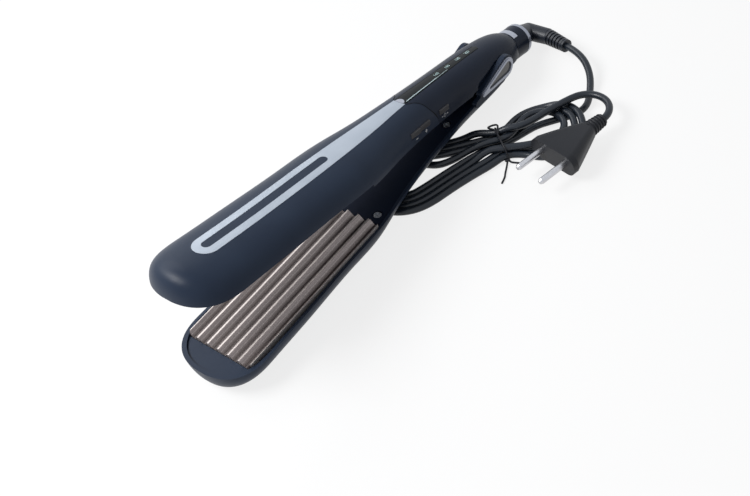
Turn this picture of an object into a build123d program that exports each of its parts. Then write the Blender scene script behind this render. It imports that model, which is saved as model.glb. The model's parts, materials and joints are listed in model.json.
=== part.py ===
"""Hair waver: two hinged arms with corrugated plates, side buttons and a swivel cord.

Millimetres, +Z up.  Both arms are drawn closed on the parting plane z = 0 with the tips
towards -X; the handle arm is then raised about the hinge and everything is set on the floor.
"""
import math
import os
from build123d import *

os.makedirs("parts", exist_ok=True)

# ---- overall ------------------------------------------------------------------------
TIP_X = -267.7
OPEN_ANGLE = 11.2
HINGE_X = 6.0
HINGE_Z = 4.5
SHIFT_X = 102.6
SHIFT_Y = 3.2
FLOOR_DROP = 17.0
WALL = 2.0
LOWER_RIM = 0.35
UPPER_RIM = 0.9
PLATE_RIM = 2.4
CLEAR = 0.3
FIT = 0.05

# ---- arm shape: station, value ---------------------------------------------------------
NOSE_LENGTH = 26.0
NOSE_POWER = 2.35
NOSE_RISE = 15.0
RISE_POWER = 3.0
ARCH_POWER = 2.25
WIDTHS = [(-267, 28.2), (-236, 28.1), (-205, 27.5), (-165, 26.2), (-138, 25.7), (-124, 23.9), (-110, 21.5),
          (-90, 19.1), (-68, 17.5), (-40, 16.6), (0, 16.4), (12, 15.9), (20, 14.9), (27, 12.7),
          (29.4, 11.3), (30.5, 9.9)]
CROWNS = [(-267, 17.4), (-239, 16.5), (-205, 16.1), (-165, 16.6), (-138, 16.9), (-110, 17.3),
          (-80, 18.1), (-40, 18.5), (0, 18.0), (12, 17.1), (20, 15.9), (27, 14.0), (29.4, 12.8), (30.5, 11.6)]
BELLIES = [(-267, 17.2), (-239, 17.4), (-215, 17.4), (-152, 17.4), (-138, 16.4), (-128, 13.4),
           (-118, 11.4), (-108, 11.2), (-60, 11.0), (-48, 10.5), (-37, 11.3), (-24, 12.5), (-12, 13.6),
           (0, 13.9), (8, 13.2), (18, 11.0)]

# ---- plates --------------------------------------------------------------------------------
PLATE_FRONT = -252.3
PLATE_REAR = -138.3
PLATE_HALF = 24.0
WAVE_PITCH = 8.0
WAVE_HEIGHT = 3.2
WAVE_FLAT = 1.3
PLATE_GAP = 0.5
PLATE_BASE = 4.6
SKIRT = 1.7
HEATER_SIZE = (96.0, 30.0, 2.4)
TRAY_SIZE = (108.0, 35.0, 4.2)

# ---- covers and screws ---------------------------------------------------------------------
COVER_STEP = 1.25
COVER_THICK = 1.8
COVER_REAR = -19.0
SCREWS = [(-131.5, 16.3), (-50.0, 8.4)]
SCREW_HEAD = 2.4
SCREW_SHANK = 1.2
HEAD_DROP = 1.3
SCREW_REACH = 6.4
BOSS_R = 3.4

# ---- handle trim ------------------------------------------------------------------------------
INLAY_FRONT = -244.5
INLAY_HALF = 7.9
SLOT_FRONT = -239.5
SLOT_REAR = -146.0
SLOT_HALF = 3.0
SEAM_X = -80.6
WINDOW_REAR = -2.0
INLAY_DEPTH = 0.6
WINDOW_DEPTH = 1.1

# ---- buttons on the -Y wall -----------------------------------------------------------------
BUTTON_LENGTH = 9.2
BUTTON_HEIGHT = 3.2
BUTTON_Z = 6.7
BUTTON_PROUD = 0.6
BUTTON_TRAVEL = 0.6
MINUS_X = -89.2
PLUS_X = -79.4
POWER_X = -59.4
BOARD_Y = -7.6

# ---- hinge --------------------------------------------------------------------------------------
EAR_OUT = 17.2
EAR_IN = 14.0
CHEEK_OUT = 13.7
CHEEK_IN = 11.9
CHEEK_WALL = 2.2
PIN_R = 2.2
EAR_MARGIN = 1.3
TRIM_BIG = 6.5
TRIM_SMALL = 1.9
TRIM_POINT = (-20.4, 2.9)
INSERT_POINT = (-14.0, 3.3)
REAR_X = 1.0
REAR_Z = -3.5
REAR_R = 10.3

# ---- swivel and boot ------------------------------------------------------------------------------
AXIS_Z = 1.8
DOME_END = 30.5
CUFF_R = 10.5
CUFF_END = 43.4
RING_END = 46.0
BASE_R = 8.8
ELBOW_X = 58.2
ELBOW_R = 5.8
RIB_START = -15.8
RIB_LENGTH = 18.4
RIB_TILT = 18.0

# ---- cord --------------------------------------------------------------------------------------------
CORD_D = 4.5
CORD_Z = -FLOOR_DROP + CORD_D / 2
HANK_H = CORD_D + 0.1
HANK_LEFT = (-91.0, -4.0)
HANK_LEFT_R = 30.0
HANK_TIE = (-41.5, -40.0)
HANK_TIE_R = 14.0
HANK_RIGHT = (-13.0, -66.0)
HANK_RIGHT_R = 25.0
HANK_TOP = (-5.0, -69.5)
HANK_TOP_R = 13.0
PLUG_Z = -FLOOR_DROP + HANK_H + 6.85


def along(table, x):
    """Smooth value at x through a table of stations."""
    if x <= table[0][0]:
        return table[0][1]
    for i in range(len(table) - 1):
        (x0, v0), (x1, v1) = table[i], table[i + 1]
        if x <= x1:
            s0 = slope(table, i)
            s1 = slope(table, i + 1)
            t = (x - x0) / (x1 - x0)
            d = x1 - x0
            a = (1 + 2 * t) * (1 - t) ** 2 * v0 + t * (1 - t) ** 2 * d * s0
            return a + t * t * (3 - 2 * t) * v1 + t * t * (t - 1) * d * s1
    return table[-1][1]


def slope(table, i):
    if i == 0 or i == len(table) - 1:
        return 0.0 if i == 0 else end_slope(table)
    a = (table[i][1] - table[i - 1][1]) / (table[i][0] - table[i - 1][0])
    b = (table[i + 1][1] - table[i][1]) / (table[i + 1][0] - table[i][0])
    return 0.0 if a * b <= 0 else 2 * a * b / (a + b)


def end_slope(table):
    (x0, v0), (x1, v1) = table[-2], table[-1]
    return 1.3 * (v1 - v0) / (x1 - x0)


def nose(x, tip, length, power):
    """Share of the full size near the rounded tip, from 0 at the tip to 1."""
    u = min(max((x - tip) / length, 0.0), 1.0)
    return (1 - (1 - u) ** power) ** (1 / power)


def half_width(x, tip=TIP_X):
    return along(WIDTHS, x) * nose(x, tip, NOSE_LENGTH, NOSE_POWER)


def crown(x, tip=TIP_X):
    return along(CROWNS, x) * nose(x, tip, NOSE_RISE, RISE_POWER)


def belly(x, tip=TIP_X):
    return along(BELLIES, x) * nose(x, tip, NOSE_RISE, RISE_POWER)


def arch(x, w, h):
    """Flat-based arch section across the arm; a negative h points down."""
    pts = []
    for deg in (0, 14, 30, 48, 68, 90, 112, 132, 150, 166, 180):
        c = math.cos(math.radians(deg))
        s = max(math.sin(math.radians(deg)), 0.0)
        y = math.copysign(abs(c) ** (2 / ARCH_POWER), c) * w if abs(c) > 1e-9 else 0.0
        pts.append((x, y, h * s ** (2 / ARCH_POWER)))
    return Face(Wire([Spline(*pts), Line(pts[-1], pts[0])]))


def stations(tip, body):
    front = [tip + NOSE_LENGTH * (1 - math.cos(math.radians(a))) for a in (3, 13, 24, 36, 48, 62, 77)]
    return front + [x for x in body if x > front[-1] + 4]


def arm_solid(height, sign, rear, inset=0.0):
    """Outer or inner (inset) body of an arm from the nose to the rear station."""
    tip = TIP_X + inset * 1.3
    body = [x for x, _ in WIDTHS if x < rear - 1] + [rear]
    faces = []
    for x in stations(tip, body):
        w = (half_width(x, tip) / along(WIDTHS, x)) * (along(WIDTHS, x) - inset)
        h = height(x, tip) * (1 - inset / FLOOR_DROP)
        faces.append(arch(x, w, sign * h))
    return loft(faces)


def block(x0, x1, y0, y1, z0, z1):
    return Pos((x0 + x1) / 2, (y0 + y1) / 2, (z0 + z1) / 2) * Box(x1 - x0, y1 - y0, z1 - z0)


def rod_x(x0, x1, r, y=0.0, z=0.0, r2=None):
    body = Cylinder(r, x1 - x0) if r2 is None else Cone(r, r2, x1 - x0)
    return Pos((x0 + x1) / 2, y, z) * Rot(0, 90, 0) * body


def rod_y(y0, y1, r, x=0.0, z=0.0, r2=None):
    """Round bar along Y; r at y0 and r2 at y1 (y1 > y0)."""
    body = Cylinder(r, y1 - y0) if r2 is None else Cone(r, r2, y1 - y0)
    return Pos(x, (y0 + y1) / 2, z) * Rot(-90, 0, 0) * body


def rod_z(z0, z1, r, x=0.0, y=0.0):
    return Pos(x, y, (z0 + z1) / 2) * Cylinder(r, z1 - z0)


def teardrop(big, r1, small, r2, y0, y1):
    """Tapered capsule in the XZ plane, extruded from y0 to y1."""
    dx, dz = small[0] - big[0], small[1] - big[1]
    d = math.hypot(dx, dz)
    a = math.atan2(dz, dx)
    b = math.acos((r1 - r2) / d)
    a0, a1 = a + b, a - b
    p = [(big[0] + r1 * math.cos(a0), big[1] + r1 * math.sin(a0)),
         (small[0] + r2 * math.cos(a0), small[1] + r2 * math.sin(a0)),
         (small[0] + r2 * math.cos(a1), small[1] + r2 * math.sin(a1)),
         (big[0] + r1 * math.cos(a1), big[1] + r1 * math.sin(a1))]
    near = (big[0] - r1 * math.cos(a), big[1] - r1 * math.sin(a))
    far = (small[0] + r2 * math.cos(a), small[1] + r2 * math.sin(a))
    flat = make_face([Line(p[0], p[1]), ThreePointArc(p[1], far, p[2]), Line(p[2], p[3]),
                      ThreePointArc(p[3], near, p[0])])
    return extrude(Plane((0, y1, 0), x_dir=(1, 0, 0), z_dir=(0, -1, 0)) * flat, y1 - y0, dir=(0, -1, 0))


def both_sides(shape):
    return shape + mirror(shape, Plane.XZ)


def raised(shape):
    """Put a handle-arm shape from the closed into the open position."""
    return Pos(HINGE_X, 0, HINGE_Z) * Rot(0, OPEN_ANGLE, 0) * Pos(-HINGE_X, 0, -HINGE_Z) * shape


def lowered(shape, angle):
    return Pos(HINGE_X, 0, HINGE_Z) * Rot(0, -angle, 0) * Pos(-HINGE_X, 0, -HINGE_Z) * shape


def save(name, shape, color):
    placed = Pos(SHIFT_X, SHIFT_Y, FLOOR_DROP) * shape
    solids = placed.solids()
    out = solids[0] if len(solids) == 1 else Compound(children=list(solids))
    out.label = name
    out.color = Color(*color)
    export_step(out, f"parts/{name}.step")
    return out


# ---- plan outlines -------------------------------------------------------------------------------
def inlay_plan():
    r = INLAY_HALF
    rear = SEAM_X + 2
    top = Spline((-170, r), (-140, r - 0.5), (-112, r - 1.7), (-92, 4.9), (rear, 4.1))
    low = Spline((rear, -4.1), (-92, -4.9), (-112, -r + 1.7), (-140, -r + 0.5), (-170, -r))
    nose_arc = ThreePointArc((INLAY_FRONT + r, -r), (INLAY_FRONT, 0), (INLAY_FRONT + r, r))
    edges = [top, Line((rear, 4.1), (rear, -4.1)), low, Line((-170, -r), (INLAY_FRONT + r, -r)),
             nose_arc, Line((INLAY_FRONT + r, r), (-170, r))]
    slot = Pos((SLOT_FRONT + SLOT_REAR) / 2, 0) * SlotOverall(SLOT_REAR - SLOT_FRONT, 2 * SLOT_HALF)
    return make_face(edges) - slot


def window_plan():
    front = SEAM_X - 2
    side = [(front, -4.0), (WINDOW_REAR - 1, -2.0), (WINDOW_REAR, 0), (WINDOW_REAR - 1, 2.0), (front, 4.0)]
    return Polygon(*side, align=None)


def seam_region(extra=0.0):
    """Plan area in front of the curved seam between the two handle shells."""
    half = [(SEAM_X + 17.5, 30), (-66.5, 17.2), (-70.2, 14.5), (-72.6, 10.6), (-75.6, 7.4), (-79.6, 5.2)]
    pts = half + [(SEAM_X - 0.1, 3.0), (SEAM_X - 0.1, -3.0)]
    pts += [(x, -y) for x, y in reversed(half)]
    pts = [(x + extra, y) for x, y in pts]
    far = TIP_X - 10
    edges = [Spline(*pts), Line(pts[-1], (far, -30)), Line((far, -30), (far, 30)), Line((far, 30), pts[0])]
    return extrude(make_face(edges), 40, both=True)


def skin_patch(plan, outer, lift, depth):
    """Piece following the crown: from lift above to depth below the outer surface."""
    column = extrude(plan, 40, dir=(0, 0, 1))
    return (column & (Pos(0, 0, lift) * outer)) - (Pos(0, 0, -depth) * outer)


# ---- corrugated plates --------------------------------------------------------------------------------
def wave_points(shift):
    """Zigzag across the arm with narrow flats; crests at both outer edges."""
    h, f = WAVE_HEIGHT / 2, WAVE_FLAT / 2
    n = round(2 * PLATE_HALF / WAVE_PITCH)
    pts = [(-PLATE_HALF, h + shift), (-PLATE_HALF + f, h + shift)]
    for i in range(n):
        mid = -PLATE_HALF + (i + 0.5) * WAVE_PITCH
        end = mid + WAVE_PITCH / 2
        pts += [(mid - f, -h + shift), (mid + f, -h + shift), (end - f, h + shift)]
        pts.append((min(end + f, PLATE_HALF), h + shift))
    return pts


def plate(side):
    """Plate with a skirt; side is +1 for the handle arm and -1 for the lower arm."""
    base = side * PLATE_BASE
    knee = side * (PLATE_BASE - SKIRT)
    foot = PLATE_HALF - SKIRT
    pts = wave_points(side * PLATE_GAP / 2)
    pts += [(PLATE_HALF, knee), (foot, base), (-foot, base), (-PLATE_HALF, knee)]
    section = Plane((PLATE_FRONT, 0, 0), x_dir=(0, 1, 0), z_dir=(1, 0, 0)) * Polygon(*pts, align=None)
    body = extrude(section, PLATE_REAR - PLATE_FRONT, dir=(1, 0, 0))
    plan = Pos((PLATE_FRONT + PLATE_REAR) / 2, 0) * RectangleRounded(
        PLATE_REAR - PLATE_FRONT, 2 * PLATE_HALF, 2.6)
    return body & extrude(plan, 12, both=True)


def plate_pocket(side):
    """Opening in a shell rim that lets the plate stand through, stepped like its skirt."""
    mid = Pos((PLATE_FRONT + PLATE_REAR) / 2, 0)
    long = PLATE_REAR - PLATE_FRONT + 2 * CLEAR
    plan = mid * RectangleRounded(long, 2 * (PLATE_HALF + CLEAR), 2.8)
    step = mid * RectangleRounded(long, 2 * (PLATE_HALF + CLEAR - SKIRT / 2), 2.8)
    knee = PLATE_BASE - SKIRT / 2 + CLEAR
    pocket = extrude(plan, knee, dir=(0, 0, side)) + extrude(step, PLATE_BASE + CLEAR, dir=(0, 0, side))
    return pocket + extrude(plan, 2, dir=(0, 0, -side))


def heater(side):
    l, w, t = HEATER_SIZE
    mid = (PLATE_FRONT + PLATE_REAR) / 2
    z = side * (PLATE_BASE + t / 2)
    core = Pos(mid, 0, z) * Box(l, w, t)
    tabs = Pos(mid + l / 2 + 2, 0, z) * (Pos(0, 6) * Box(4, 3, 0.8) + Pos(0, -6) * Box(4, 3, 0.8))
    return core + tabs


def tray(side):
    """Heat-resistant carrier: clips round the heater and up against the plate."""
    l, w, t = TRAY_SIZE
    mid = (PLATE_FRONT + PLATE_REAR) / 2
    z0 = PLATE_BASE
    body = Pos(mid, 0, side * (z0 + t / 2)) * Box(l, w, t)
    body -= Pos(mid, 0, side * (z0 + (HEATER_SIZE[2] + 0.1) / 2)) * Box(
        HEATER_SIZE[0] + 0.6, HEATER_SIZE[1] + 0.6, HEATER_SIZE[2] + 0.1)
    body -= Pos(mid + l / 2 - 3, 0, side * (z0 + 1.3)) * Box(12, 18, 2.6)
    return body


def fuse(side):
    """Thermal cut-out clipped on the tray's back, with its two leads."""
    z = side * (PLATE_BASE + TRAY_SIZE[2] + 1.6)
    can = rod_x(-168, -156, 1.6, 6, z)
    return can + rod_x(-173, -151, 0.45, 6, z)


# ---- lower arm -----------------------------------------------------------------------------------------
def ear(margin=0.0, y0=EAR_IN, y1=EAR_OUT):
    """Cheek of the lower arm that carries the hinge pin."""
    big = (HINGE_X, HINGE_Z)
    m = EAR_MARGIN + margin
    top = teardrop(big, TRIM_BIG + m, TRIM_POINT, TRIM_SMALL + m, y0, y1)
    return top + teardrop((1.0, 0.4), 4.4 + margin, (-27.0, -0.6), 2.4 + margin, y0, y1)


def rear_round(y0, y1, margin=0.0):
    """Rounded rear end of the lower arm."""
    return rod_y(y0, y1, REAR_R + margin, REAR_X, REAR_Z)


def lower_outer():
    body = arm_solid(belly, -1, 18.0)
    body &= block(TIP_X - 5, 40, -40, 40, -FLOOR_DROP, -LOWER_RIM)
    return body - (block(REAR_X, 40, -40, 40, -30, 5) - rear_round(-20, 20))


def lower_inner():
    return arm_solid(belly, -1, 20.0, WALL) + block(-20, 24, -(EAR_IN + CLEAR), EAR_IN + CLEAR, -9, 1)


def cover_level(side):
    """Distance of a cover's face from the parting plane."""
    return (UPPER_RIM if side > 0 else LOWER_RIM) + COVER_STEP


def cover_slab(side):
    """Recess floor of an arm: slab just inside the rim."""
    z0, z1 = sorted((side * cover_level(side), side * (cover_level(side) + COVER_THICK)))
    return block(PLATE_REAR + CLEAR, COVER_REAR, -40, 40, z0, z1)


def nose_web(outer, side):
    level = (PLATE_RIM if side > 0 else LOWER_RIM) + COVER_STEP
    z0, z1 = sorted((side * level, side * (level + COVER_THICK)))
    return outer & block(TIP_X - 5, PLATE_FRONT - CLEAR, -40, 40, z0, z1)


def screw_posts(side, height):
    posts = None
    for x, y in SCREWS:
        h = height(x) - 1.0
        z0, z1 = sorted((side * (cover_level(side) + COVER_THICK), side * h))
        one = rod_z(z0, z1, BOSS_R, x, y)
        posts = one if posts is None else posts + one
    return both_sides(posts)


def screw_holes(side, r, depth):
    z0, z1 = sorted((side * 0.5, side * depth))
    holes = rod_z(z0, z1, r, *SCREWS[0]) + rod_z(z0, z1, r, *SCREWS[1])
    return both_sides(holes)


def screw(side, x, y):
    """Cross-recess screw seated in the cover's counterbore."""
    top = side * (cover_level(side) + 0.2)
    seat = side * (cover_level(side) + HEAD_DROP)
    z0, z1 = sorted((top, seat))
    head = rod_z(z0, z1, SCREW_HEAD, x, y)
    a, b = sorted((seat, side * (cover_level(side) + SCREW_REACH)))
    shank = rod_z(a, b, SCREW_SHANK, x, y)
    slot = Pos(x, y, top) * Rot(0, 0, 35) * (Box(2.8, 0.6, 1.0) + Box(0.6, 2.8, 1.0))
    return head + shank - slot


def screws(side):
    out = []
    for x, y in SCREWS:
        out += [screw(side, x, y), screw(side, x, -y)]
    return Compound(children=[s.solids()[0] for s in out])


def cover(side, inner):
    body = cover_slab(side) & inner
    if side < 0:
        body -= both_sides(ear(CLEAR, EAR_IN - CLEAR, 30))
    else:
        body -= both_sides(pocket_profile(CHEEK_IN - CLEAR, 30, CHEEK_WALL + CLEAR))
    body -= screw_holes(side, SCREW_SHANK + FIT, cover_level(side) + COVER_THICK + 1)
    return body - screw_holes(side, SCREW_HEAD + 0.5, cover_level(side) + HEAD_DROP)


def lower_shell(outer, inner):
    body = outer - inner + nose_web(outer, -1)
    body += screw_posts(-1, belly) & outer
    body -= screw_holes(-1, SCREW_SHANK + FIT, cover_level(-1) + SCREW_REACH)
    body -= plate_pocket(-1)
    body += both_sides(ear())
    body -= block(-60, 40, -EAR_IN, EAR_IN, -9, 20) & block(-20, 40, -40, 40, -9, 20)
    hole = rod_y(-EAR_OUT + 1.0, EAR_OUT - 1.0, PIN_R + FIT, HINGE_X, HINGE_Z)
    seat = teardrop((HINGE_X, HINGE_Z), TRIM_BIG - 1.0, TRIM_POINT, 0.6, EAR_OUT - 0.5, EAR_OUT + 1)
    return body - hole - both_sides(seat)


def trim_ring():
    """Raised two-step ring on the cheek."""
    big = (HINGE_X, HINGE_Z)
    base = teardrop(big, TRIM_BIG, TRIM_POINT, TRIM_SMALL, EAR_OUT, EAR_OUT + 0.9)
    step = teardrop(big, TRIM_BIG - 0.9, TRIM_POINT, TRIM_SMALL - 0.7, EAR_OUT, EAR_OUT + 1.3)
    return base + step - insert_shape(EAR_OUT - 1, EAR_OUT + 3)


def insert_shape(y0, y1):
    """Dark face inside the ring."""
    return teardrop((HINGE_X, HINGE_Z), TRIM_BIG - 2.5, INSERT_POINT, 0.9, y0, y1)


# ---- handle arm ------------------------------------------------------------------------------------------
def barrel(inset=0.0, front=-11.0, end=DOME_END):
    """Full round rear housing about the cord axis."""
    radii = [(front, 7.6), (0.0, 9.7), (8.0, 10.6), (14.0, 11.4), (20.0, 11.9), (26.0, 11.6), (end, 9.9)]
    pts = [(x, r - inset) for x, r in radii]
    side = make_face([Spline(*pts), Line(pts[-1], (end, 0)), Line((end, 0), (front, 0)),
                      Line((front, 0), pts[0])])
    side = Plane((0, 0, AXIS_Z), x_dir=(1, 0, 0), z_dir=(0, -1, 0)) * side
    return revolve(side, Axis((0, 0, AXIS_Z), (1, 0, 0)), 360)


def upper_outer():
    body = arm_solid(crown, 1, DOME_END)
    body &= block(TIP_X - 5, 40, -40, 40, UPPER_RIM, 40)
    return body - block(TIP_X - 5, PLATE_REAR + 1, -40, 40, 0, PLATE_RIM)


def upper_inner():
    return arm_solid(crown, 1, DOME_END - 2.2, WALL)


def pocket_profile(y0, y1, margin):
    """Space swept by the lower arm's cheek, seen from the handle arm."""
    shape = None
    for a in (0.0, OPEN_ANGLE / 2, OPEN_ANGLE):
        one = lowered(ear(margin, y0, y1) + rear_round(y0, y1, margin), a)
        shape = one if shape is None else shape + one
    return shape


def upper_shells(outer, inner):
    hull = outer + barrel()
    body = hull - (inner + barrel(WALL, -8.0, DOME_END - 2.2))
    body += nose_web(outer, 1)
    body += screw_posts(1, crown) & outer
    body -= screw_holes(1, SCREW_SHANK + FIT, cover_level(1) + SCREW_REACH)
    body -= plate_pocket(1)
    cheek = pocket_profile(CHEEK_IN, CHEEK_OUT, CHEEK_WALL) & hull
    body += both_sides(cheek) & block(-60, DOME_END, -40, 40, -20, 40)
    body -= both_sides(pocket_profile(CHEEK_OUT, 24.0, 0.5))
    body -= rod_y(-20, 20, PIN_R, HINGE_X, HINGE_Z)
    body -= rod_x(DOME_END - 5, DOME_END + 5, BASE_R + 0.1, 0, AXIS_Z)
    for x in (MINUS_X, PLUS_X, POWER_X):
        body -= block(x - BUTTON_LENGTH / 2 - 0.1, x + BUTTON_LENGTH / 2 + 0.1, -24, -12,
                      BUTTON_Z - BUTTON_HEIGHT / 2 - 0.1, BUTTON_Z + BUTTON_HEIGHT / 2 + 0.1)
    return body


def wall_y(x, z):
    """Outer wall position at height z."""
    s = min(z / crown(x), 1.0)
    return half_width(x) * (1 - s ** ARCH_POWER) ** (1 / ARCH_POWER)


def button(x):
    """Cap with a retaining flange behind the wall."""
    face = -(wall_y(x, BUTTON_Z) + BUTTON_PROUD)
    cap = block(x - BUTTON_LENGTH / 2, x + BUTTON_LENGTH / 2, face, face + 5.2,
                BUTTON_Z - BUTTON_HEIGHT / 2, BUTTON_Z + BUTTON_HEIGHT / 2)
    cap = fillet(cap.edges().group_by(Axis.Y)[0], 0.35)
    stem = block(x - 1.6, x + 1.6, face + 5.1, BOARD_Y - 2.8 - BUTTON_TRAVEL - 0.1,
                 BUTTON_Z - 1.2, BUTTON_Z + 1.2)
    flange = block(x - BUTTON_LENGTH / 2 + 0.3, x + BUTTON_LENGTH / 2 - 0.3, face + 4.2, face + 5.2,
                   BUTTON_Z - BUTTON_HEIGHT / 2 - 0.8, BUTTON_Z + BUTTON_HEIGHT / 2 + 0.8)
    return cap + flange + stem


def control_board():
    body = block(-97, -54.4, BOARD_Y, BOARD_Y + 1.6, 4.3, 12.4)
    chip = block(-74, -66, BOARD_Y + 1.6, BOARD_Y + 3.2, 5, 11)
    relay = block(-94, -86, BOARD_Y + 1.6, BOARD_Y + 4.6, 5, 11)
    return body + chip + relay


def tact_switches():
    out = []
    for x in (MINUS_X, PLUS_X, POWER_X):
        base = block(x - 3, x + 3, BOARD_Y - 1.8, BOARD_Y, BUTTON_Z - 1.9, BUTTON_Z + 1.9)
        out.append(base + rod_y(BOARD_Y - 2.8, BOARD_Y - 1.8, 1.0, x, BUTTON_Z))
    return Compound(children=[s.solids()[0] for s in out])


def hinge_pin():
    return rod_y(-EAR_OUT + 1.1, EAR_OUT - 1.1, PIN_R, HINGE_X, HINGE_Z)


def torsion_spring():
    coil = Helix(1.6, 6.4, 3.4, center=(0, 0, 0), direction=(0, 0, 1))
    start = coil @ 0
    wire = sweep(Plane(origin=start, z_dir=coil % 0) * Circle(0.55), path=coil)
    return Pos(HINGE_X, 3.2, HINGE_Z) * Rot(90, 0, 0) * wire


def cuff():
    tube = rod_x(DOME_END, CUFF_END, CUFF_R, 0, AXIS_Z)
    tube += rod_x(DOME_END - 4.6, DOME_END, BASE_R + 0.05, 0, AXIS_Z)
    bore = rod_x(DOME_END + 1.8, CUFF_END + 1, BASE_R + FIT, 0, AXIS_Z)
    return tube - bore - rod_x(DOME_END - 6, CUFF_END, 5.0, 0, AXIS_Z)


def cuff_ring():
    body = rod_x(CUFF_END, RING_END, CUFF_R + 0.1, 0, AXIS_Z)
    return body - rod_x(CUFF_END - 1, RING_END + 1, BASE_R + FIT, 0, AXIS_Z)


def cuff_badge():
    """Bright band on the collar's top next to the dome."""
    body = rod_x(DOME_END + 0.6, DOME_END + 5.0, CUFF_R + 0.3, 0, AXIS_Z)
    body -= rod_x(DOME_END, DOME_END + 8, CUFF_R, 0, AXIS_Z)
    return body & block(DOME_END - 1, DOME_END + 9, -6.5, 20, AXIS_Z + 5.2, 40)


def boot_profile():
    """Elbow boot: turning base, round elbow, tapered arm with ribs."""
    x0 = DOME_END + 2.4
    base = rod_x(x0, RING_END + 0.8, BASE_R, 0, AXIS_Z) - rod_x(x0 + 2.0, x0 + 4.0, 12, 0, AXIS_Z)
    base += rod_x(x0 + 1.9, x0 + 4.1, 6.4, 0, AXIS_Z)
    neck = rod_x(RING_END + 0.8, ELBOW_X, BASE_R, 0, AXIS_Z, ELBOW_R)
    ball = Pos(ELBOW_X, 0, AXIS_Z) * Sphere(ELBOW_R)
    arm = rod_y(RIB_START, 0.0, 5.4, ELBOW_X, AXIS_Z, ELBOW_R)
    body = base + neck + ball + arm + boot_bend() * boot_ribs()
    return body - rod_x(x0 - 1, ELBOW_X - 4, 3.0, 0, AXIS_Z)


def boot_bend():
    """Frame at the start of the ribbed part, which turns slightly towards the tips."""
    return Pos(ELBOW_X, RIB_START, AXIS_Z) * Rot(0, 0, -RIB_TILT)


def boot_ribs():
    body = rod_y(-RIB_LENGTH + 0.8, 0.6, 3.5, r2=4.6)
    for i in range(6):
        y = -2.2 - i * 2.7
        body += rod_y(y - 0.85, y + 0.85, 5.2 - i * 0.16)
    return body + rod_y(-RIB_LENGTH, -RIB_LENGTH + 1.6, 4.3) + Sphere(5.2)


def retainer():
    x0 = DOME_END + 2.4
    return rod_x(x0 + 2.15, x0 + 3.85, BASE_R + FIT, 0, AXIS_Z) - rod_x(x0, x0 + 6, 6.5, 0, AXIS_Z)


def lead_wires():
    """Two insulated conductors from the collar to the board, lying side by side."""
    pts = [(DOME_END - 3, 0, AXIS_Z), (19, 0, 8.6), (0, 0, 10.6), (-36, 0.8, 10.0), (-62, -4.0, 9.0)]
    a = route(pts, 0.9)
    return Pos(0, 1.0, 0) * a + Pos(0, -1.0, 0) * a


def heater_wires(side):
    z = side * 5.7
    pts = [(-139.5, 5.5, side * 5.8), (-126, 5.0, z), (-96, 1.6, z), (-46, 1.2, z), (-24, 1.2, side * 5.0)]
    a = route(pts, 0.8)
    return a + mirror(a, Plane.XZ)


# ---- cord ----------------------------------------------------------------------------------------------
def route(points, r, show=False):
    """Round tube along straight runs joined by tangent arcs."""
    vs = [Vector(*p) for p in points]
    radii = []
    for a, b, c in zip(vs, vs[1:], vs[2:]):
        turn = math.radians((b - a).get_angle(c - b))
        run = min((b - a).length, (c - b).length)
        radii.append(0.45 * run / math.tan(turn / 2))
    if show:
        print("bend radii", [round(v, 1) for v in radii])
    path = FilletPolyline(*points, radius=radii)
    return sweep(Plane(origin=path @ 0, z_dir=path % 0) * Circle(r), path=path)


def cord_start():
    """End of the boot and the way the cord leaves it, in the open position."""
    ends = [boot_bend() * Vertex(0, -RIB_LENGTH - FIT, 0), boot_bend() * Vertex(0, -RIB_LENGTH - 13, 0)]
    return [raised(v).vertices()[0].center() for v in ends]


def cord_lead():
    end, way = cord_start()
    pts = [tuple(end), tuple(way), (37.5, -58.5, -10.8), (22.5, -66.2, CORD_Z), (8.0, -69.9, CORD_Z)]
    return route(pts, CORD_D / 2, True)


def capsule(big, r1, small, r2, z0, z1):
    """Tapered capsule seen from above."""
    flat = Rot(-90, 0, 0) * teardrop(big, r1, small, r2, 0, z1 - z0)
    return Pos(0, 0, z1) * flat


def hank():
    """Outer shape of the tied coil: one flat layer under the arm, two layers from the tie on."""
    z = -FLOOR_DROP
    body = capsule(HANK_LEFT, HANK_LEFT_R, HANK_TIE, HANK_TIE_R, z, z + HANK_H)
    body += capsule(HANK_RIGHT, HANK_RIGHT_R, HANK_TIE, HANK_TIE_R, z, z + HANK_H)
    body += capsule(HANK_TOP, HANK_TOP_R, HANK_TIE, HANK_TIE_R - 5.5, z + 1, z + 2 * CORD_D)
    body = fillet(body.edges().group_by(Axis.Z)[-1], 1.6)
    return body - tie_band() - cord_lead()


def tie_frame():
    dx, dy = HANK_RIGHT[0] - HANK_LEFT[0], HANK_RIGHT[1] - HANK_LEFT[1]
    d = math.hypot(dx, dy)
    return Plane((*HANK_TIE, -FLOOR_DROP), x_dir=(-dy / d, dx / d, 0), z_dir=(dx / d, dy / d, 0))


def tie_band():
    """Twist tie round the bundle with two short tails."""
    wide = 2 * HANK_TIE_R
    outer = RectangleRounded(wide + 2.0, 11.4, 3.0)
    inner = RectangleRounded(wide + 0.4, 9.8, 2.4)
    band = extrude(Pos(0, 5.72) * (outer - inner), 1.2, both=True)
    tails = Pos(-wide / 2 - 1.6, 3.0) * extrude(Rectangle(3.0, 1.2), 9)
    return tie_frame() * (band + tails)


def plug_frame():
    return Plane((-4.0, -91.0, PLUG_Z), x_dir=(-0.97, 0.243, 0), z_dir=(0, 0, 1))


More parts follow.
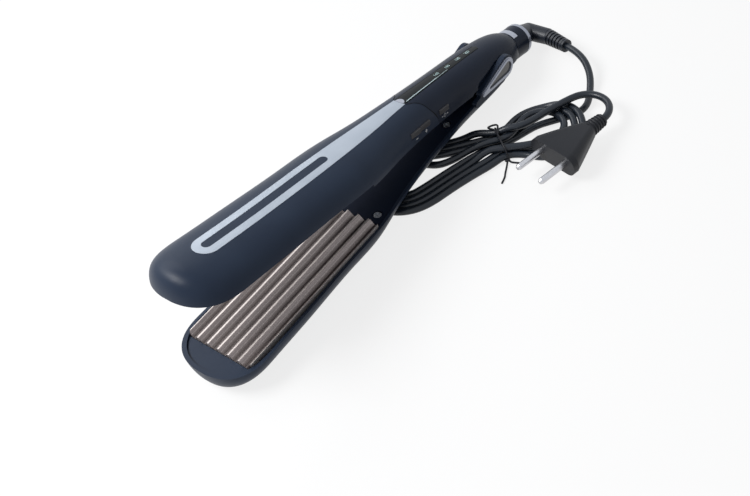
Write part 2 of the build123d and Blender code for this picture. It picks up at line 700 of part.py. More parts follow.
def plug_body():
    """Flat two-pin plug: sleeve, waisted grip and flange."""
    sleeve = rod_x(0, 12, 3.6, r2=4.8)
    grip = loft([Plane((12, 0, 0), x_dir=(0, 1, 0), z_dir=(1, 0, 0)) * RectangleRounded(11, 9, 3.5),
                 Plane((24, 0, 0), x_dir=(0, 1, 0), z_dir=(1, 0, 0)) * RectangleRounded(22, 12, 4.5),
                 Plane((38, 0, 0), x_dir=(0, 1, 0), z_dir=(1, 0, 0)) * RectangleRounded(35.3, 13.7, 6)])
    face = extrude(Plane((38, 0, 0), x_dir=(0, 1, 0), z_dir=(1, 0, 0)) * RectangleRounded(35.3, 13.7, 6), 4)
    return plug_frame() * (sleeve + grip + face)


def plug_pins():
    out = []
    for y in (-9.3, 9.3):
        pin = rod_x(42, 60, 2.0, y) + Pos(60, y, 0) * Rot(0, 90, 0) * Cone(2.0, 1.2, 1.4, align=(
            Align.CENTER, Align.CENTER, Align.MIN))
        out.append((plug_frame() * pin).solids()[0])
    return Compound(children=out)


# ---- colours ----------------------------------------------------------------------------------------------
SHELL = (0.045, 0.055, 0.075)
NAVY = (0.05, 0.07, 0.11)
PLATE = (0.52, 0.47, 0.45)
SILVER = (0.66, 0.70, 0.76)
STEEL = (0.6, 0.61, 0.63)
BLACK = (0.03, 0.03, 0.035)
CREAM = (0.75, 0.72, 0.64)
GREEN = (0.05, 0.25, 0.12)
RED = (0.5, 0.08, 0.06)


def build():
    made = {}
    lo, li = lower_outer(), lower_inner()
    uo, ui = upper_outer(), upper_inner()
    made["lower_shell"] = save("lower_shell", lower_shell(lo, li), SHELL)
    made["lower_cover"] = save("lower_cover", cover(-1, li), NAVY)
    made["lower_plate"] = save("lower_plate", plate(-1), PLATE)
    made["lower_heater"] = save("lower_heater", heater(-1), CREAM)
    made["lower_tray"] = save("lower_tray", tray(-1), CREAM)
    made["lower_fuse"] = save("lower_fuse", fuse(-1), STEEL)
    made["lower_screws"] = save("lower_screws", screws(-1), STEEL)
    made["lower_wires"] = save("lower_wires", heater_wires(-1), RED)
    insert = insert_shape(EAR_OUT - 0.5, EAR_OUT + 0.5)
    made["trim_near"] = save("trim_near", mirror(trim_ring(), Plane.XZ), SILVER)
    made["trim_far"] = save("trim_far", trim_ring(), SILVER)
    made["insert_near"] = save("insert_near", mirror(insert, Plane.XZ), BLACK)
    made["insert_far"] = save("insert_far", insert, BLACK)

    shells = upper_shells(uo, ui)
    region = seam_region()
    inlay = skin_patch(inlay_plan(), uo, 0.12, INLAY_DEPTH) & region
    window = skin_patch(window_plan(), uo, 0.1, WINDOW_DEPTH) - seam_region(0.15)
    tip = skin_patch(Pos(SEAM_X + 0.2, 0) * Circle(3.0), uo, 0.25, INLAY_DEPTH) - seam_region(0.15)
    window -= tip
    front = (shells & region) - inlay
    rear = (shells - seam_region(0.15)) - window - tip
    handle = {"front_shell": (front, SHELL), "rear_shell": (rear, SHELL), "silver_inlay": (inlay, SILVER),
              "window_lens": (window, BLACK), "window_tip": (tip, SILVER),
              "upper_cover": (cover(1, ui), NAVY), "upper_plate": (plate(1), PLATE),
              "upper_heater": (heater(1), CREAM), "upper_tray": (tray(1), CREAM),
              "upper_fuse": (fuse(1), STEEL), "upper_screws": (screws(1), STEEL),
              "upper_wires": (heater_wires(1), RED), "lead_wires": (lead_wires(), RED),
              "control_board": (control_board(), GREEN), "tact_switches": (tact_switches(), BLACK),
              "display_module": (display_module(), BLACK), "hinge_pin": (hinge_pin(), STEEL),
              "torsion_spring": (torsion_spring(), STEEL), "swivel_cuff": (cuff(), SHELL),
              "cuff_ring": (cuff_ring(), SILVER), "cuff_badge": (cuff_badge(), SILVER),
              "swivel_retainer": (retainer(), STEEL), "elbow_boot": (boot_profile(), BLACK),
              "minus_button": (button(MINUS_X), BLACK), "plus_button": (button(PLUS_X), BLACK),
              "power_button": (button(POWER_X), BLACK)}
    for name, (shape, color) in handle.items():
        made[name] = save(name, raised(shape), color)
    made["cord_lead"] = save("cord_lead", cord_lead(), BLACK)
    made["cord_hank"] = save("cord_hank", hank(), BLACK)
    made["twist_tie"] = save("twist_tie", tie_band(), BLACK)
    made["plug_body"] = save("plug_body", plug_body(), BLACK)
    made["plug_pins"] = save("plug_pins", plug_pins(), STEEL)
    return made


def display_module():
    """Four-digit display under the window."""
    z = crown(-8) - WINDOW_DEPTH - 1.5
    return block(-44, -10, -3.0, 3.0, z - 4.0, z)


made = build()
for name, part in made.items():
    box = part.bounding_box()
    low, high = box.min, box.max
    print(f"{name:18s} {len(part.solids())} vol {part.volume:9.1f}  {low.X:7.1f} {high.X:7.1f} "
          f"{low.Y:7.1f} {high.Y:7.1f} {low.Z:6.1f} {high.Z:6.1f}")
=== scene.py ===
"""Dressed scene of the hair waver: camera, cord, materials, small details and light."""
import json
import math
import bpy
from mathutils import Matrix, Vector
from mathutils.bvhtree import BVHTree


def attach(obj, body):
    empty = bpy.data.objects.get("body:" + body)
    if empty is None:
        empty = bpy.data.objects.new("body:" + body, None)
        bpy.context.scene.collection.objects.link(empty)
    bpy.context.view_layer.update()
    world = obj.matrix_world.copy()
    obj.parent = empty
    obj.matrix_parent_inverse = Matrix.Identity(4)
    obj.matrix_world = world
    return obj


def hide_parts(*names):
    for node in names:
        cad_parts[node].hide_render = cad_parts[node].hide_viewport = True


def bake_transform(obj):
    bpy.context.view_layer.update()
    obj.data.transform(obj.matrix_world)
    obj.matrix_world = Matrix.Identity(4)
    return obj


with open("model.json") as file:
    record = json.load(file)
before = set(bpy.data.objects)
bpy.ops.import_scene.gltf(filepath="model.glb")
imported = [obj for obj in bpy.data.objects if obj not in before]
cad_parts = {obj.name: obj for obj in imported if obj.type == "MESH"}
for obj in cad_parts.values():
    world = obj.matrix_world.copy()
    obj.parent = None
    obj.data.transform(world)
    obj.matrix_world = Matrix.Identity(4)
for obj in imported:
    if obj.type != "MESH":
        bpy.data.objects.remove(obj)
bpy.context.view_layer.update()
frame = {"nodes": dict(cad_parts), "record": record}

# ---- the part's own frame ------------------------------------------------------------------
SHIFT = Vector((102.6, 3.2, 17.0))
HINGE = Vector((6.0, 0.0, 4.5))
OPEN_ANGLE = math.radians(11.2)
OPEN_TURN = Matrix.Rotation(OPEN_ANGLE, 3, "Y")
CORD_D = 4.5
FLOOR_Z = -17.0


def place(x, y, z):
    """Metres in the row frame, from millimetres about the hinge line."""
    return (Vector((x, y, z)) + SHIFT) / 1000


def raised(x, y, z):
    """A point of the handle arm, given with the arms closed."""
    return OPEN_TURN @ (Vector((x, y, z)) - HINGE) + HINGE


def link(obj):
    bpy.context.scene.collection.objects.link(obj)
    return obj


# ---- camera ----------------------------------------------------------------------------------
CAMERA_AT = (-397.6, -338.7, 402.7)
CAMERA_RIGHT = Vector((0.60175, -0.76784, -0.21983)).normalized()
CAMERA_UP = Vector((0.67053, 0.33614, 0.66136))
SENSOR_WIDTH = 36.0
FOCAL_LENGTH = 47.96


def add_camera():
    cam = bpy.data.cameras.new("camera")
    obj = link(bpy.data.objects.new("camera", cam))
    back = CAMERA_RIGHT.cross(CAMERA_UP).normalized()
    up = back.cross(CAMERA_RIGHT)
    turn = Matrix((CAMERA_RIGHT, up, back)).transposed()
    obj.matrix_world = Matrix.Translation(place(*CAMERA_AT)) @ turn.to_4x4()
    cam.sensor_width = SENSOR_WIDTH
    cam.lens = FOCAL_LENGTH
    cam.clip_start = 0.01
    bpy.context.scene.camera = obj


# ---- shader helpers ------------------------------------------------------------------------------
def new_material(name, color, rough, metallic=0.0):
    mat = bpy.data.materials.new(name)
    mat.use_nodes = True
    shader = mat.node_tree.nodes["Principled BSDF"]
    shader.inputs["Base Color"].default_value = (*color, 1.0)
    shader.inputs["Roughness"].default_value = rough
    shader.inputs["Metallic"].default_value = metallic
    return mat, mat.node_tree.nodes, mat.node_tree.links, shader


def coords(nodes):
    """Object coordinates in metres; the objects all sit at the origin of the row frame."""
    return nodes.new("ShaderNodeTexCoord").outputs["Object"]


def noise(nodes, links, vector, scale, detail=4.0, rough=0.5):
    tex = nodes.new("ShaderNodeTexNoise")
    tex.inputs["Scale"].default_value = scale
    tex.inputs["Detail"].default_value = detail
    tex.inputs["Roughness"].default_value = rough
    links.new(vector, tex.inputs["Vector"])
    return tex.outputs["Fac"]


def ramp(nodes, links, fac, stops):
    node = nodes.new("ShaderNodeValToRGB")
    while len(node.color_ramp.elements) < len(stops):
        node.color_ramp.elements.new(0.5)
    for element, (pos, color) in zip(node.color_ramp.elements, stops):
        element.position = pos
        element.color = (*color, 1.0)
    links.new(fac, node.inputs["Fac"])
    return node.outputs["Color"]


def span(nodes, links, fac, low, high, lo=0.0, hi=1.0):
    """Maps a value from lo...hi to low...high."""
    node = nodes.new("ShaderNodeMapRange")
    node.inputs["From Min"].default_value = lo
    node.inputs["From Max"].default_value = hi
    node.inputs["To Min"].default_value = low
    node.inputs["To Max"].default_value = high
    links.new(fac, node.inputs["Value"])
    return node.outputs["Result"]


def bump(nodes, links, shader, height, strength, distance):
    node = nodes.new("ShaderNodeBump")
    node.inputs["Strength"].default_value = strength
    node.inputs["Distance"].default_value = distance
    links.new(height, node.inputs["Height"])
    links.new(node.outputs["Normal"], shader.inputs["Normal"])


# ---- materials -------------------------------------------------------------------------------------
def moulded(name, dark, light, rough, grain, strength, gloss=0.5, coat=0.0):
    """Moulded plastic: faint cloudy tone, fine spark-eroded grain and uneven sheen."""
    mat, nodes, links, shader = new_material(name, dark, rough)
    vec = coords(nodes)
    cloud = noise(nodes, links, vec, 38.0, 3.0)
    links.new(ramp(nodes, links, cloud, [(0.3, dark), (0.72, light)]), shader.inputs["Base Color"])
    links.new(span(nodes, links, cloud, rough - 0.04, rough + 0.05), shader.inputs["Roughness"])
    bump(nodes, links, shader, noise(nodes, links, vec, grain, 2.0), strength, 0.00012)
    shader.inputs["Coat Weight"].default_value = coat
    shader.inputs["Specular IOR Level"].default_value = gloss
    return mat


def satin_metal(name, dark, light, rough, grain, metallic):
    """Satin metal: fine streaks of tone and sheen."""
    mat, nodes, links, shader = new_material(name, dark, rough, metallic)
    vec = coords(nodes)
    lines = noise(nodes, links, vec, grain, 5.0, 0.6)
    links.new(ramp(nodes, links, lines, [(0.3, dark), (0.7, light)]), shader.inputs["Base Color"])
    links.new(span(nodes, links, lines, rough - 0.06, rough + 0.08), shader.inputs["Roughness"])
    bump(nodes, links, shader, lines, 0.06, 0.0001)
    return mat


PLATE_WAVES = 6.0
PLATE_WIDTH = 0.048
PLATE_EDGE = SHIFT.y / 1000 - PLATE_WIDTH / 2
# Painted light across each wave of the plate: painted highlight at the crest, mid tones and one thin
# painted highlight line on the flank, painted shade down into the groove.
WAVE_LIGHT_AND_SHADE = ((0.0, (0.66, 0.61, 0.58)), (0.07, (0.58, 0.53, 0.50)), (0.12, (0.33, 0.28, 0.27)),
              (0.45, (0.29, 0.25, 0.24)), (0.50, (0.42, 0.37, 0.35)), (0.55, (0.27, 0.23, 0.22)),
              (0.80, (0.21, 0.18, 0.17)), (1.0, (0.09, 0.075, 0.075)))
SPARK_TONES = ((0.40, (0.74, 0.74, 0.74)), (0.58, (1.0, 1.0, 1.0)), (0.70, (1.5, 1.5, 1.5)))


def plate_coat():
    """Ceramic coat: sparkling grain, and across each wave a painted highlight on the crest and painted
    shade in the groove.
    """
    mat, nodes, links, shader = new_material("plate", (0.36, 0.31, 0.30), 0.34, 0.6)
    vec = coords(nodes)
    axes = nodes.new("ShaderNodeSeparateXYZ")
    links.new(vec, axes.inputs["Vector"])
    phase = span(nodes, links, axes.outputs["Y"], 0.0, PLATE_WAVES, PLATE_EDGE, PLATE_EDGE + PLATE_WIDTH)
    wave = nodes.new("ShaderNodeMath")
    wave.operation = "PINGPONG"
    wave.inputs[1].default_value = 0.5
    links.new(phase, wave.inputs[0])
    share = span(nodes, links, wave.outputs[0], 0.0, 1.0, 0.0, 0.5)
    # Painted highlight on the crests and painted shade in the grooves of the plate.
    painted_wave_light = ramp(nodes, links, share, WAVE_LIGHT_AND_SHADE)
    grain = noise(nodes, links, vec, 2400.0, 2.0, 0.7)
    spark = ramp(nodes, links, grain, SPARK_TONES)
    mix = nodes.new("ShaderNodeMix")
    mix.data_type = "RGBA"
    mix.blend_type = "MULTIPLY"
    mix.inputs["Factor"].default_value = 1.0
    links.new(painted_wave_light, mix.inputs["A"])
    links.new(spark, mix.inputs["B"])
    links.new(mix.outputs["Result"], shader.inputs["Base Color"])
    links.new(span(nodes, links, grain, 0.26, 0.44), shader.inputs["Roughness"])
    bump(nodes, links, shader, grain, 0.12, 0.00012)
    return mat


def painted(name, dark, light, rough, metallic):
    """Silver paint: slow changes of tone and sheen under a very fine flake."""
    mat, nodes, links, shader = new_material(name, dark, rough, metallic)
    vec = coords(nodes)
    cloud = noise(nodes, links, vec, 60.0, 3.0)
    links.new(ramp(nodes, links, cloud, [(0.3, dark), (0.7, light)]), shader.inputs["Base Color"])
    links.new(span(nodes, links, cloud, rough - 0.05, rough + 0.05), shader.inputs["Roughness"])
    bump(nodes, links, shader, noise(nodes, links, vec, 4000.0, 1.0), 0.03, 0.0001)
    return mat


# Each plastic: dark and light tone, roughness, grain scale, grain depth, then gloss and clear coat.
PLASTICS = {
    "shell": ((0.0145, 0.023, 0.043), (0.0185, 0.029, 0.052), 0.38, 3200, 0.10, 0.15),
    "grip": ((0.0085, 0.0135, 0.027), (0.012, 0.018, 0.034), 0.36, 3200, 0.10, 0.13),
    "cover": ((0.0070, 0.0115, 0.026), (0.0095, 0.015, 0.032), 0.42, 2600, 0.14, 0.05),
    "lens": ((0.0012, 0.0025, 0.003), (0.002, 0.004, 0.005), 0.16, 600, 0.01, 0.16),
    "black": ((0.006, 0.007, 0.010), (0.009, 0.010, 0.014), 0.40, 2800, 0.12, 0.28),
    "cream": ((0.66, 0.62, 0.53), (0.74, 0.70, 0.62), 0.6, 1800, 0.2),
    "board": ((0.02, 0.13, 0.06), (0.03, 0.18, 0.09), 0.3, 900, 0.1),
    "wire": ((0.35, 0.03, 0.02), (0.42, 0.05, 0.03), 0.4, 1500, 0.1),
    "cord": ((0.007, 0.011, 0.018), (0.011, 0.016, 0.024), 0.33, 2200, 0.10, 0.40),
    "elastic": ((0.007, 0.010, 0.016), (0.011, 0.014, 0.022), 0.40, 2600, 0.16, 0.40),
    "key": ((0.026, 0.025, 0.028), (0.034, 0.032, 0.035), 0.46, 2600, 0.12, 0.4),
    "insert": ((0.016, 0.013, 0.012), (0.024, 0.019, 0.017), 0.16, 900, 0.02, 0.5, 0.3),
    # gap_shade: near-black painted shade, laid in the gap beside the window and along the seam of the
    # shells.
    "gap_shade": ((0.0015, 0.0018, 0.0025), (0.0025, 0.003, 0.004), 0.6, 900, 0.02, 0.1),
    # painted_glint: teal-white painted highlight, the reflection along the window's near bevel.
    "painted_glint": ((0.40, 0.52, 0.54), (0.62, 0.74, 0.76), 0.22, 420, 0.02),
    "print": ((0.42, 0.42, 0.43), (0.52, 0.52, 0.53), 0.5, 1800, 0.05),
    # digit_glint: pale teal of the display digits, partly a painted glint in the dark window.
    "digit_glint": ((0.42, 0.62, 0.62), (0.62, 0.80, 0.80), 0.35, 900, 0.02),
}
# Each metal: dark and light tone, roughness, grain scale and metallic share.
METALS = {
    "bright": ((0.40, 0.42, 0.48), (0.47, 0.49, 0.55), 0.34, 1500, 0.7),
    "steel": ((0.50, 0.50, 0.52), (0.64, 0.64, 0.66), 0.28, 900, 1.0),
    "screw": ((0.34, 0.36, 0.39), (0.56, 0.58, 0.61), 0.30, 900, 0.8),
}
# Each paint: dark and light tone, roughness and metallic share.
PAINTS = {
    "silver": ((0.40, 0.45, 0.52), (0.45, 0.50, 0.57), 0.34, 0.35),
    "trim": ((0.33, 0.35, 0.41), (0.38, 0.40, 0.46), 0.30, 0.6),
}
# Nodes whose finish differs from the one that their slot names.
FINISH = {"rear_shell": "grip", "swivel_cuff": "grip",
          "upper_screws": "screw", "lower_screws": "screw", "insert_near": "insert", "insert_far": "insert",
          "trim_near": "trim", "trim_far": "trim", "cuff_ring": "trim",
          "minus_button": "key", "plus_button": "key", "power_button": "key"}


def make_materials():
    made = {name: moulded(name, *look) for name, look in PLASTICS.items()}
    made.update({name: satin_metal(name, *look) for name, look in METALS.items()})
    made.update({name: painted(name, *look) for name, look in PAINTS.items()})
    made["plate"] = plate_coat()
    return made


def dress_nodes(made):
    for part in frame["record"]["subparts"]:
        obj = frame["nodes"][part["node"]]
        obj.data.materials.clear()
        obj.data.materials.append(made[FINISH.get(part["node"], part["material_slot"])])


# ---- building blocks ---------------------------------------------------------------------------
def nurbs(name, points, radius=0.0, closed=False):
    """Smooth line, or a round tube when it has a radius, through metres."""
    curve = bpy.data.curves.new(name, "CURVE")
    curve.dimensions = "3D"
    curve.resolution_u = 6
    spline = curve.splines.new("NURBS")
    spline.points.add(len(points) - 1)
    for point, xyz in zip(spline.points, points):
        point.co = (*xyz, 1.0)
    spline.order_u = 3
    spline.use_endpoint_u = not closed
    spline.use_cyclic_u = closed
    curve.bevel_depth = radius
    curve.bevel_resolution = 5
    curve.use_fill_caps = radius > 0
    return link(bpy.data.objects.new(name, curve))


def as_mesh(name, obj):
    bpy.context.view_layer.update()
    mesh = bpy.data.meshes.new_from_object(obj)
    mesh.name = name
    return mesh


def finish_piece(obj, body, material):
    obj.data.materials.clear()
    obj.data.materials.append(material)
    for face in obj.data.polygons:
        face.use_smooth = True
    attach(obj, body)
    return obj


def solid_curve(name, curves, material):
    """Joins tubes into one mesh piece that rides on the handle arm."""
    verts, faces = [], []
    for curve in curves:
        mesh = as_mesh(name, curve)
        base = len(verts)
        verts += [v.co.copy() for v in mesh.vertices]
        faces += [[base + i for i in f.vertices] for f in mesh.polygons]
        bpy.data.meshes.remove(mesh)
        bpy.data.objects.remove(curve)
    mesh = bpy.data.meshes.new(name)
    mesh.from_pydata(verts, [], faces)
    return finish_piece(link(bpy.data.objects.new(name, mesh)), "handle_arm", material)


def surface_of(*names):
    """Search tree of some CAD nodes, in the row frame."""
    verts, faces = [], []
    for name in names:
        obj = frame["nodes"][name]
        base = len(verts)
        verts += [obj.matrix_world @ v.co for v in obj.data.vertices]
        faces += [[base + i for i in f.vertices] for f in obj.data.polygons]
    return BVHTree.FromPolygons(verts, faces)


def surface_point(tree, start, way, spread):
    """Nearest hit along the way, tried a little to each side so that narrow gaps are bridged."""
    best = None
    for shift in (0.0, -spread, spread):
        hit, _, _, reach = tree.ray_cast(start + Vector((shift, 0, 0)), way)
        if hit and (best is None or reach < best):
            best = reach
    return None if best is None else start + way * best


GAP_REACH = 0.0006
INWARD = (0, 1, 0)
DOWN = (0, 0, -1)


def printed(name, outlines, tree, toward, lift, material):
    """Flat marks on the handle arm: each outline is one face of points given with the arms closed."""
    way = OPEN_TURN @ Vector(toward)
    verts, faces = [], []
    for outline in outlines:
        hits = [surface_point(tree, place(*raised(*xyz)), way, GAP_REACH) for xyz in outline]
        if None in hits:
            continue
        faces.append(list(range(len(verts), len(verts) + len(hits))))
        verts += [hit - way * lift / 1000 for hit in hits]
    mesh = bpy.data.meshes.new(name)
    mesh.from_pydata(verts, [], faces)
    finish_piece(link(bpy.data.objects.new(name, mesh)), "handle_arm", material)


# ---- cord --------------------------------------------------------------------------------------
# Heights of a strand's centre: on the table, on one strand, on two, and the two layers at the tie.
LOW = FLOOR_Z + CORD_D / 2
OVER = LOW + 4.6
ABOVE = LOW + 9.2
GROOVE = LOW + 5.3
OVER_WIRE = LOW + 1.3
# The bundle is measured from its tie, along it toward the plug end and across it away from the buttons.
TIE = Vector((-41.5, -40.0))
WAY = Vector((0.787, -0.617))
ACROSS = Vector((0.617, 0.787))
LEFT_END = (-61.2, -2.2)
LEFT_RADIUS = 27.3
LOOP_STEP = 4.55
LEG_STEP = 4.75
PLUG_AT = Vector((-4.0, -91.0, -5.55))
# The ribbed arm of the boot: its start, its tilt, and how far along it the cord leaves.
BOOT_START = (58.2, -15.8)
BOOT_LEVEL = 1.8
BOOT_TILT = math.radians(18.0)
BOOT_END = 18.45


def boot_point(reach):
    """Point on the ribbed arm's axis, reach mm past its start."""
    x, y = BOOT_START
    return raised(x - math.sin(BOOT_TILT) * reach, y - math.cos(BOOT_TILT) * reach, BOOT_LEVEL)


def spot(along, across, z=LOW):
    """Point measured from the tie, along the bundle and across it."""
    plan = TIE + WAY * along + ACROSS * across
    return (plan.x, plan.y, z)


def bend(centre, radius, start, end, step, height):
    """Control points round an arc in degrees, at a height that may change with the angle."""
    count = round(abs(end - start) / step) + 1
    reach = radius / math.cos(math.radians((end - start) / (count - 1) / 2))
    out = []
    for i in range(count):
        angle = start + (end - start) * i / (count - 1)
        a = math.radians(angle)
        out.append(spot(centre[0] + reach * math.cos(a), centre[1] + reach * math.sin(a), height(angle)))
    return out


def flat(z):
    """The same height all round an arc."""
    return lambda angle: z


def hump(middle, half, fall):
    """Height that climbs over a crossing strand and comes down on both sides."""
    def height(angle):
        t = min(1.0, max(0.0, (abs(angle - middle) - half) / fall))
        return OVER + (LOW - OVER) * t * t * (3 - 2 * t)
    return height


def left_turn(k, tie, first=None):
    """Near leg from the tie and the end loop under the arm; k counts inwards."""
    lift = LEG_STEP * k
    legs = [tie, first or spot(-10, lift - 14.2), spot(-22, lift - 17.4), spot(-37, lift - 22.4)]
    return legs + bend(LEFT_END, LEFT_RADIUS - LOOP_STEP * k, -72, -288, 24, flat(LOW))


def cord_route():
    """From the boot through the hank's turns to the plug, in millimetres."""
    pts = [boot_point(BOOT_END), boot_point(31.4), (37.5, -58.5, -10.8), spot(67.0, 18.8), spot(59.8, 7.6)]
    pts += [spot(50, 4.9), spot(38, 6.0), spot(27, 6.6), spot(18.8, 4.4), spot(10, 1.6)]
    pts += left_turn(3, spot(0, -1.8, OVER_WIRE))
    pts += [spot(-48, 6.4), spot(-39.5, 0.6), spot(-29, 1.2), spot(-19, 2.4, LOW + 2.2)]
    pts += [spot(-9.5, 1.2, OVER + 0.3), spot(0, -0.6, GROOVE)]
    pts += [spot(7, 0.5, OVER), spot(14, 5.5, OVER)]
    pts += bend((27.6, -0.6), 13.9, 122, -112, 24, flat(OVER))
    pts += [spot(14, -12.2, OVER), spot(7, -10.0, OVER)]
    pts += left_turn(2, spot(0, -8.7, GROOVE), spot(-9, -5.2, LOW + 4.8))
    pts += [spot(-43, 11.2), spot(-29, 7.6), spot(-14, 5.6), spot(0, 2.8, OVER_WIRE)]
    pts += [spot(8.5, 5.8), spot(16.5, 8.6)]
    pts += bend((31.4, -1.6), 16.2, 118, -118, 23.6, hump(24, 10, 62))
    pts += [spot(14, -10.2), spot(7, -6.6)]
    pts += left_turn(1, spot(0, -6.4, OVER_WIRE))
    pts += [spot(-43, 16.2), spot(-29, 12.4), spot(-14, 10.2), spot(0, 7.4, OVER_WIRE)]
    pts += [spot(9, 12.6), spot(18, 19.6)]
    pts += bend((29.8, -1.2), 22.6, 95, -118, 23, hump(16, 14, 46))
    pts += [spot(10, -13.2)]
    pts += left_turn(0, spot(0, -11.0, OVER_WIRE))
    pts += [spot(-43, 21.2), spot(-29, 17.4), spot(-19, 15.6, LOW + 0.6)]
    pts += [spot(-10, 12.6, OVER + 0.4), spot(0, 5.5, GROOVE + 0.3)]
    pts += [spot(7.5, 3.2, ABOVE - 0.2), spot(16, 0.4, ABOVE + 0.2), spot(26, 3.0, ABOVE)]
    pts += [spot(35, 6.2, ABOVE), spot(44.5, 8.6, ABOVE)]
    pts += bend((55.2, -4.0), 14.3, 106.5, -54.5, 23, flat(ABOVE))
    return pts + [tuple(PLUG_AT)]


def add_cord(made, extras):
    """The whole cord as one strand. The extras, the pieces that lie on it, are not used."""
    points = [place(*p) for p in cord_route()]
    line = nurbs("cord_line", points)
    path = [v.co.copy() for v in as_mesh("cord_line", line).vertices]
    line.data.bevel_depth = CORD_D / 2000
    line.data.use_fill_caps = True
    mesh = as_mesh("power_cord", line)
    bpy.data.objects.remove(line)
    cord = link(bpy.data.objects.new("power_cord", mesh))
    for face in mesh.polygons:
        face.use_smooth = True
    mesh.materials.clear()
    mesh.materials.append(made["cord"])
    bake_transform(cord)
    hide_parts("cord_lead", "cord_hank")


# ---- twist tie and plug ------------------------------------------------------------------------
# The loop and tails are given across the bundle, up, and along it; the bow along, across and up.
WIRE_R = 0.62
TIE_LOOP = ((-14.2, -15.9, 1.5), (-14.0, -12.4, 1.2), (-12.6, -8.6, 0.8), (-9.4, -6.5, 0.4),
            (-4.0, -6.1, 0.2), (2.0, -5.6, 0.4), (6.4, -5.7, 0.9), (9.6, -8.6, 1.2), (11.0, -13.0, 1.4),
            (10.2, -16.3, 1.5), (4.0, -16.3, 1.5), (-6.0, -16.3, 1.5), (-12.4, -16.3, 1.5))
TIE_BOW = ((0.4, -1.0, -6.1), (0.2, 5.0, -5.6), (-2.2, 8.0, -6.2), (-3.0, 11.0, -7.4), (-0.6, 12.8, -8.4),
           (2.4, 12.4, -8.2), (3.4, 9.4, -6.8), (1.8, 5.0, -5.6), (0.8, 1.0, -5.9))
TIE_TAILS = (((-14.6, -14.6, 1.0), (-16.0, -15.6, 1.6), (-17.0, -16.2, 3.6), (-18.6, -16.3, 6.4)),
             ((-14.6, -15.2, 0.4), (-18.0, -16.3, -1.4), (-23.5, -16.35, -4.4), (-26.6, -16.35, -5.6),
              (-30.4, -16.35, -8.8)))
TWIST_AT = (-14.4, -15.0, 1.6)
TWIST_RADIUS = 0.6
TWIST_STEP = 0.3
TWIST_POINTS = 9


def tie_point(across, z, along):
    return place(*spot(along, across, z))


def twisted_strand(phase):
    """One of the two wires wound round each other where the tie closes."""
    across, z, along = TWIST_AT
    turns = []
    for i in range(TWIST_POINTS):
        a = phase + i * math.pi / 2
        side, rise = TWIST_RADIUS * math.cos(a), TWIST_RADIUS * math.sin(a)
        turns.append(tie_point(across + side, z + rise, along - i * TWIST_STEP))
    return turns


def add_twist_tie(made):
    """Thin sheathed wire round the bundle, its ends twisted together with two loose tails."""
    radius = WIRE_R / 1000
    parts = [nurbs("tie_loop", [tie_point(*p) for p in TIE_LOOP], radius, closed=True)]
    parts.append(nurbs("tie_bow", [place(*spot(*p)) for p in TIE_BOW], radius))
    parts += [nurbs("tie_tail", [tie_point(*p) for p in tail], radius) for tail in TIE_TAILS]
    parts += [nurbs("tie_twist", twisted_strand(phase), radius) for phase in (0.0, math.pi)]
    tie = solid_curve("tie_wire", parts, made["black"])
    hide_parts("twist_tie")
    return tie


PLUG_WAY = Vector((-0.97, 0.243, 0)).normalized()
PLUG_SIDE = Vector((-PLUG_WAY.y, PLUG_WAY.x, 0))
RIB_COUNT = 5
RIB_START = 1.4
RIB_STEP = 2.1
RIB_RADIUS = 3.75
RIB_TAPER = 0.1
RIB_WIRE = 0.0006
RIB_POINTS = 12


def plug_ring(x):
    """Points round the strain relief, x mm from the cord's end."""
    radius = RIB_RADIUS + x * RIB_TAPER
    out = []
    for k in range(RIB_POINTS):
        a = math.tau * k / RIB_POINTS
        off = PLUG_SIDE * (radius * math.cos(a)) + Vector((0, 0, radius * math.sin(a)))
        out.append(place(*(PLUG_AT + PLUG_WAY * x + off)))
    return out


def add_plug_ribs(made):
    """Raised rings on the plug's strain relief."""
    places = [RIB_START + i * RIB_STEP for i in range(RIB_COUNT)]
    rings = [nurbs("rib", plug_ring(x), RIB_WIRE, closed=True) for x in places]
    return solid_curve("plug_ribs", rings, made["black"])


# ---- printed marks -----------------------------------------------------------------------------
# Marks start outside the arm, beside its button wall or over its top, and are laid on its surface.
BESIDE = -30.0
OVERHEAD = 40.0
MARK_Z = 3.5
KEY_MINUS, KEY_PLUS, KEY_POWER = -89.2, -79.4, -59.4
SIGN_HALF = 1.1
LINE_HALF = 0.3
POWER_RADIUS = 0.85
POWER_LINE = 0.32
POWER_STEM_UP = 0.75
POWER_STEM_HALF = 0.55
DASH_OFF = 2.6
DASH_HALF = 0.7
DASH_THICK_HALF = 0.25
# How far marks stand off the surface that they are laid on.
PRINT_LIFT = 0.03
SEAM_LIFT = 0.04
GLINT_LIFT = 0.08
NUMBER_LIFT = 0.02


def bar(x, half_x, z, half_z):
    """Upright rectangle beside the button wall, by its middle and half sizes."""
    x0, x1, z0, z1 = x - half_x, x + half_x, z - half_z, z + half_z
    return [(x0, BESIDE, z0), (x1, BESIDE, z0), (x1, BESIDE, z1), (x0, BESIDE, z1)]


def ring_marks(x, z, radius, width, start, end, count=14):
    """Short faces round an open ring."""
    out = []
    for i in range(count):
        a = math.radians(start + (end - start) * i / count)
        b = math.radians(start + (end - start) * (i + 1) / count)
        corners = ((radius, a), (radius + width, a), (radius + width, b), (radius, b))
        out.append([(x + r * math.sin(t), BESIDE, z + r * math.cos(t)) for r, t in corners])
    return out


def minus_plus_signs():
    arm_half = (SIGN_HALF - LINE_HALF) / 2
    out = [bar(key, SIGN_HALF, MARK_Z, LINE_HALF) for key in (KEY_MINUS, KEY_PLUS)]
    for side in (-1, 1):
        out.append(bar(KEY_PLUS, LINE_HALF, MARK_Z + side * (LINE_HALF + arm_half), arm_half))
    return out


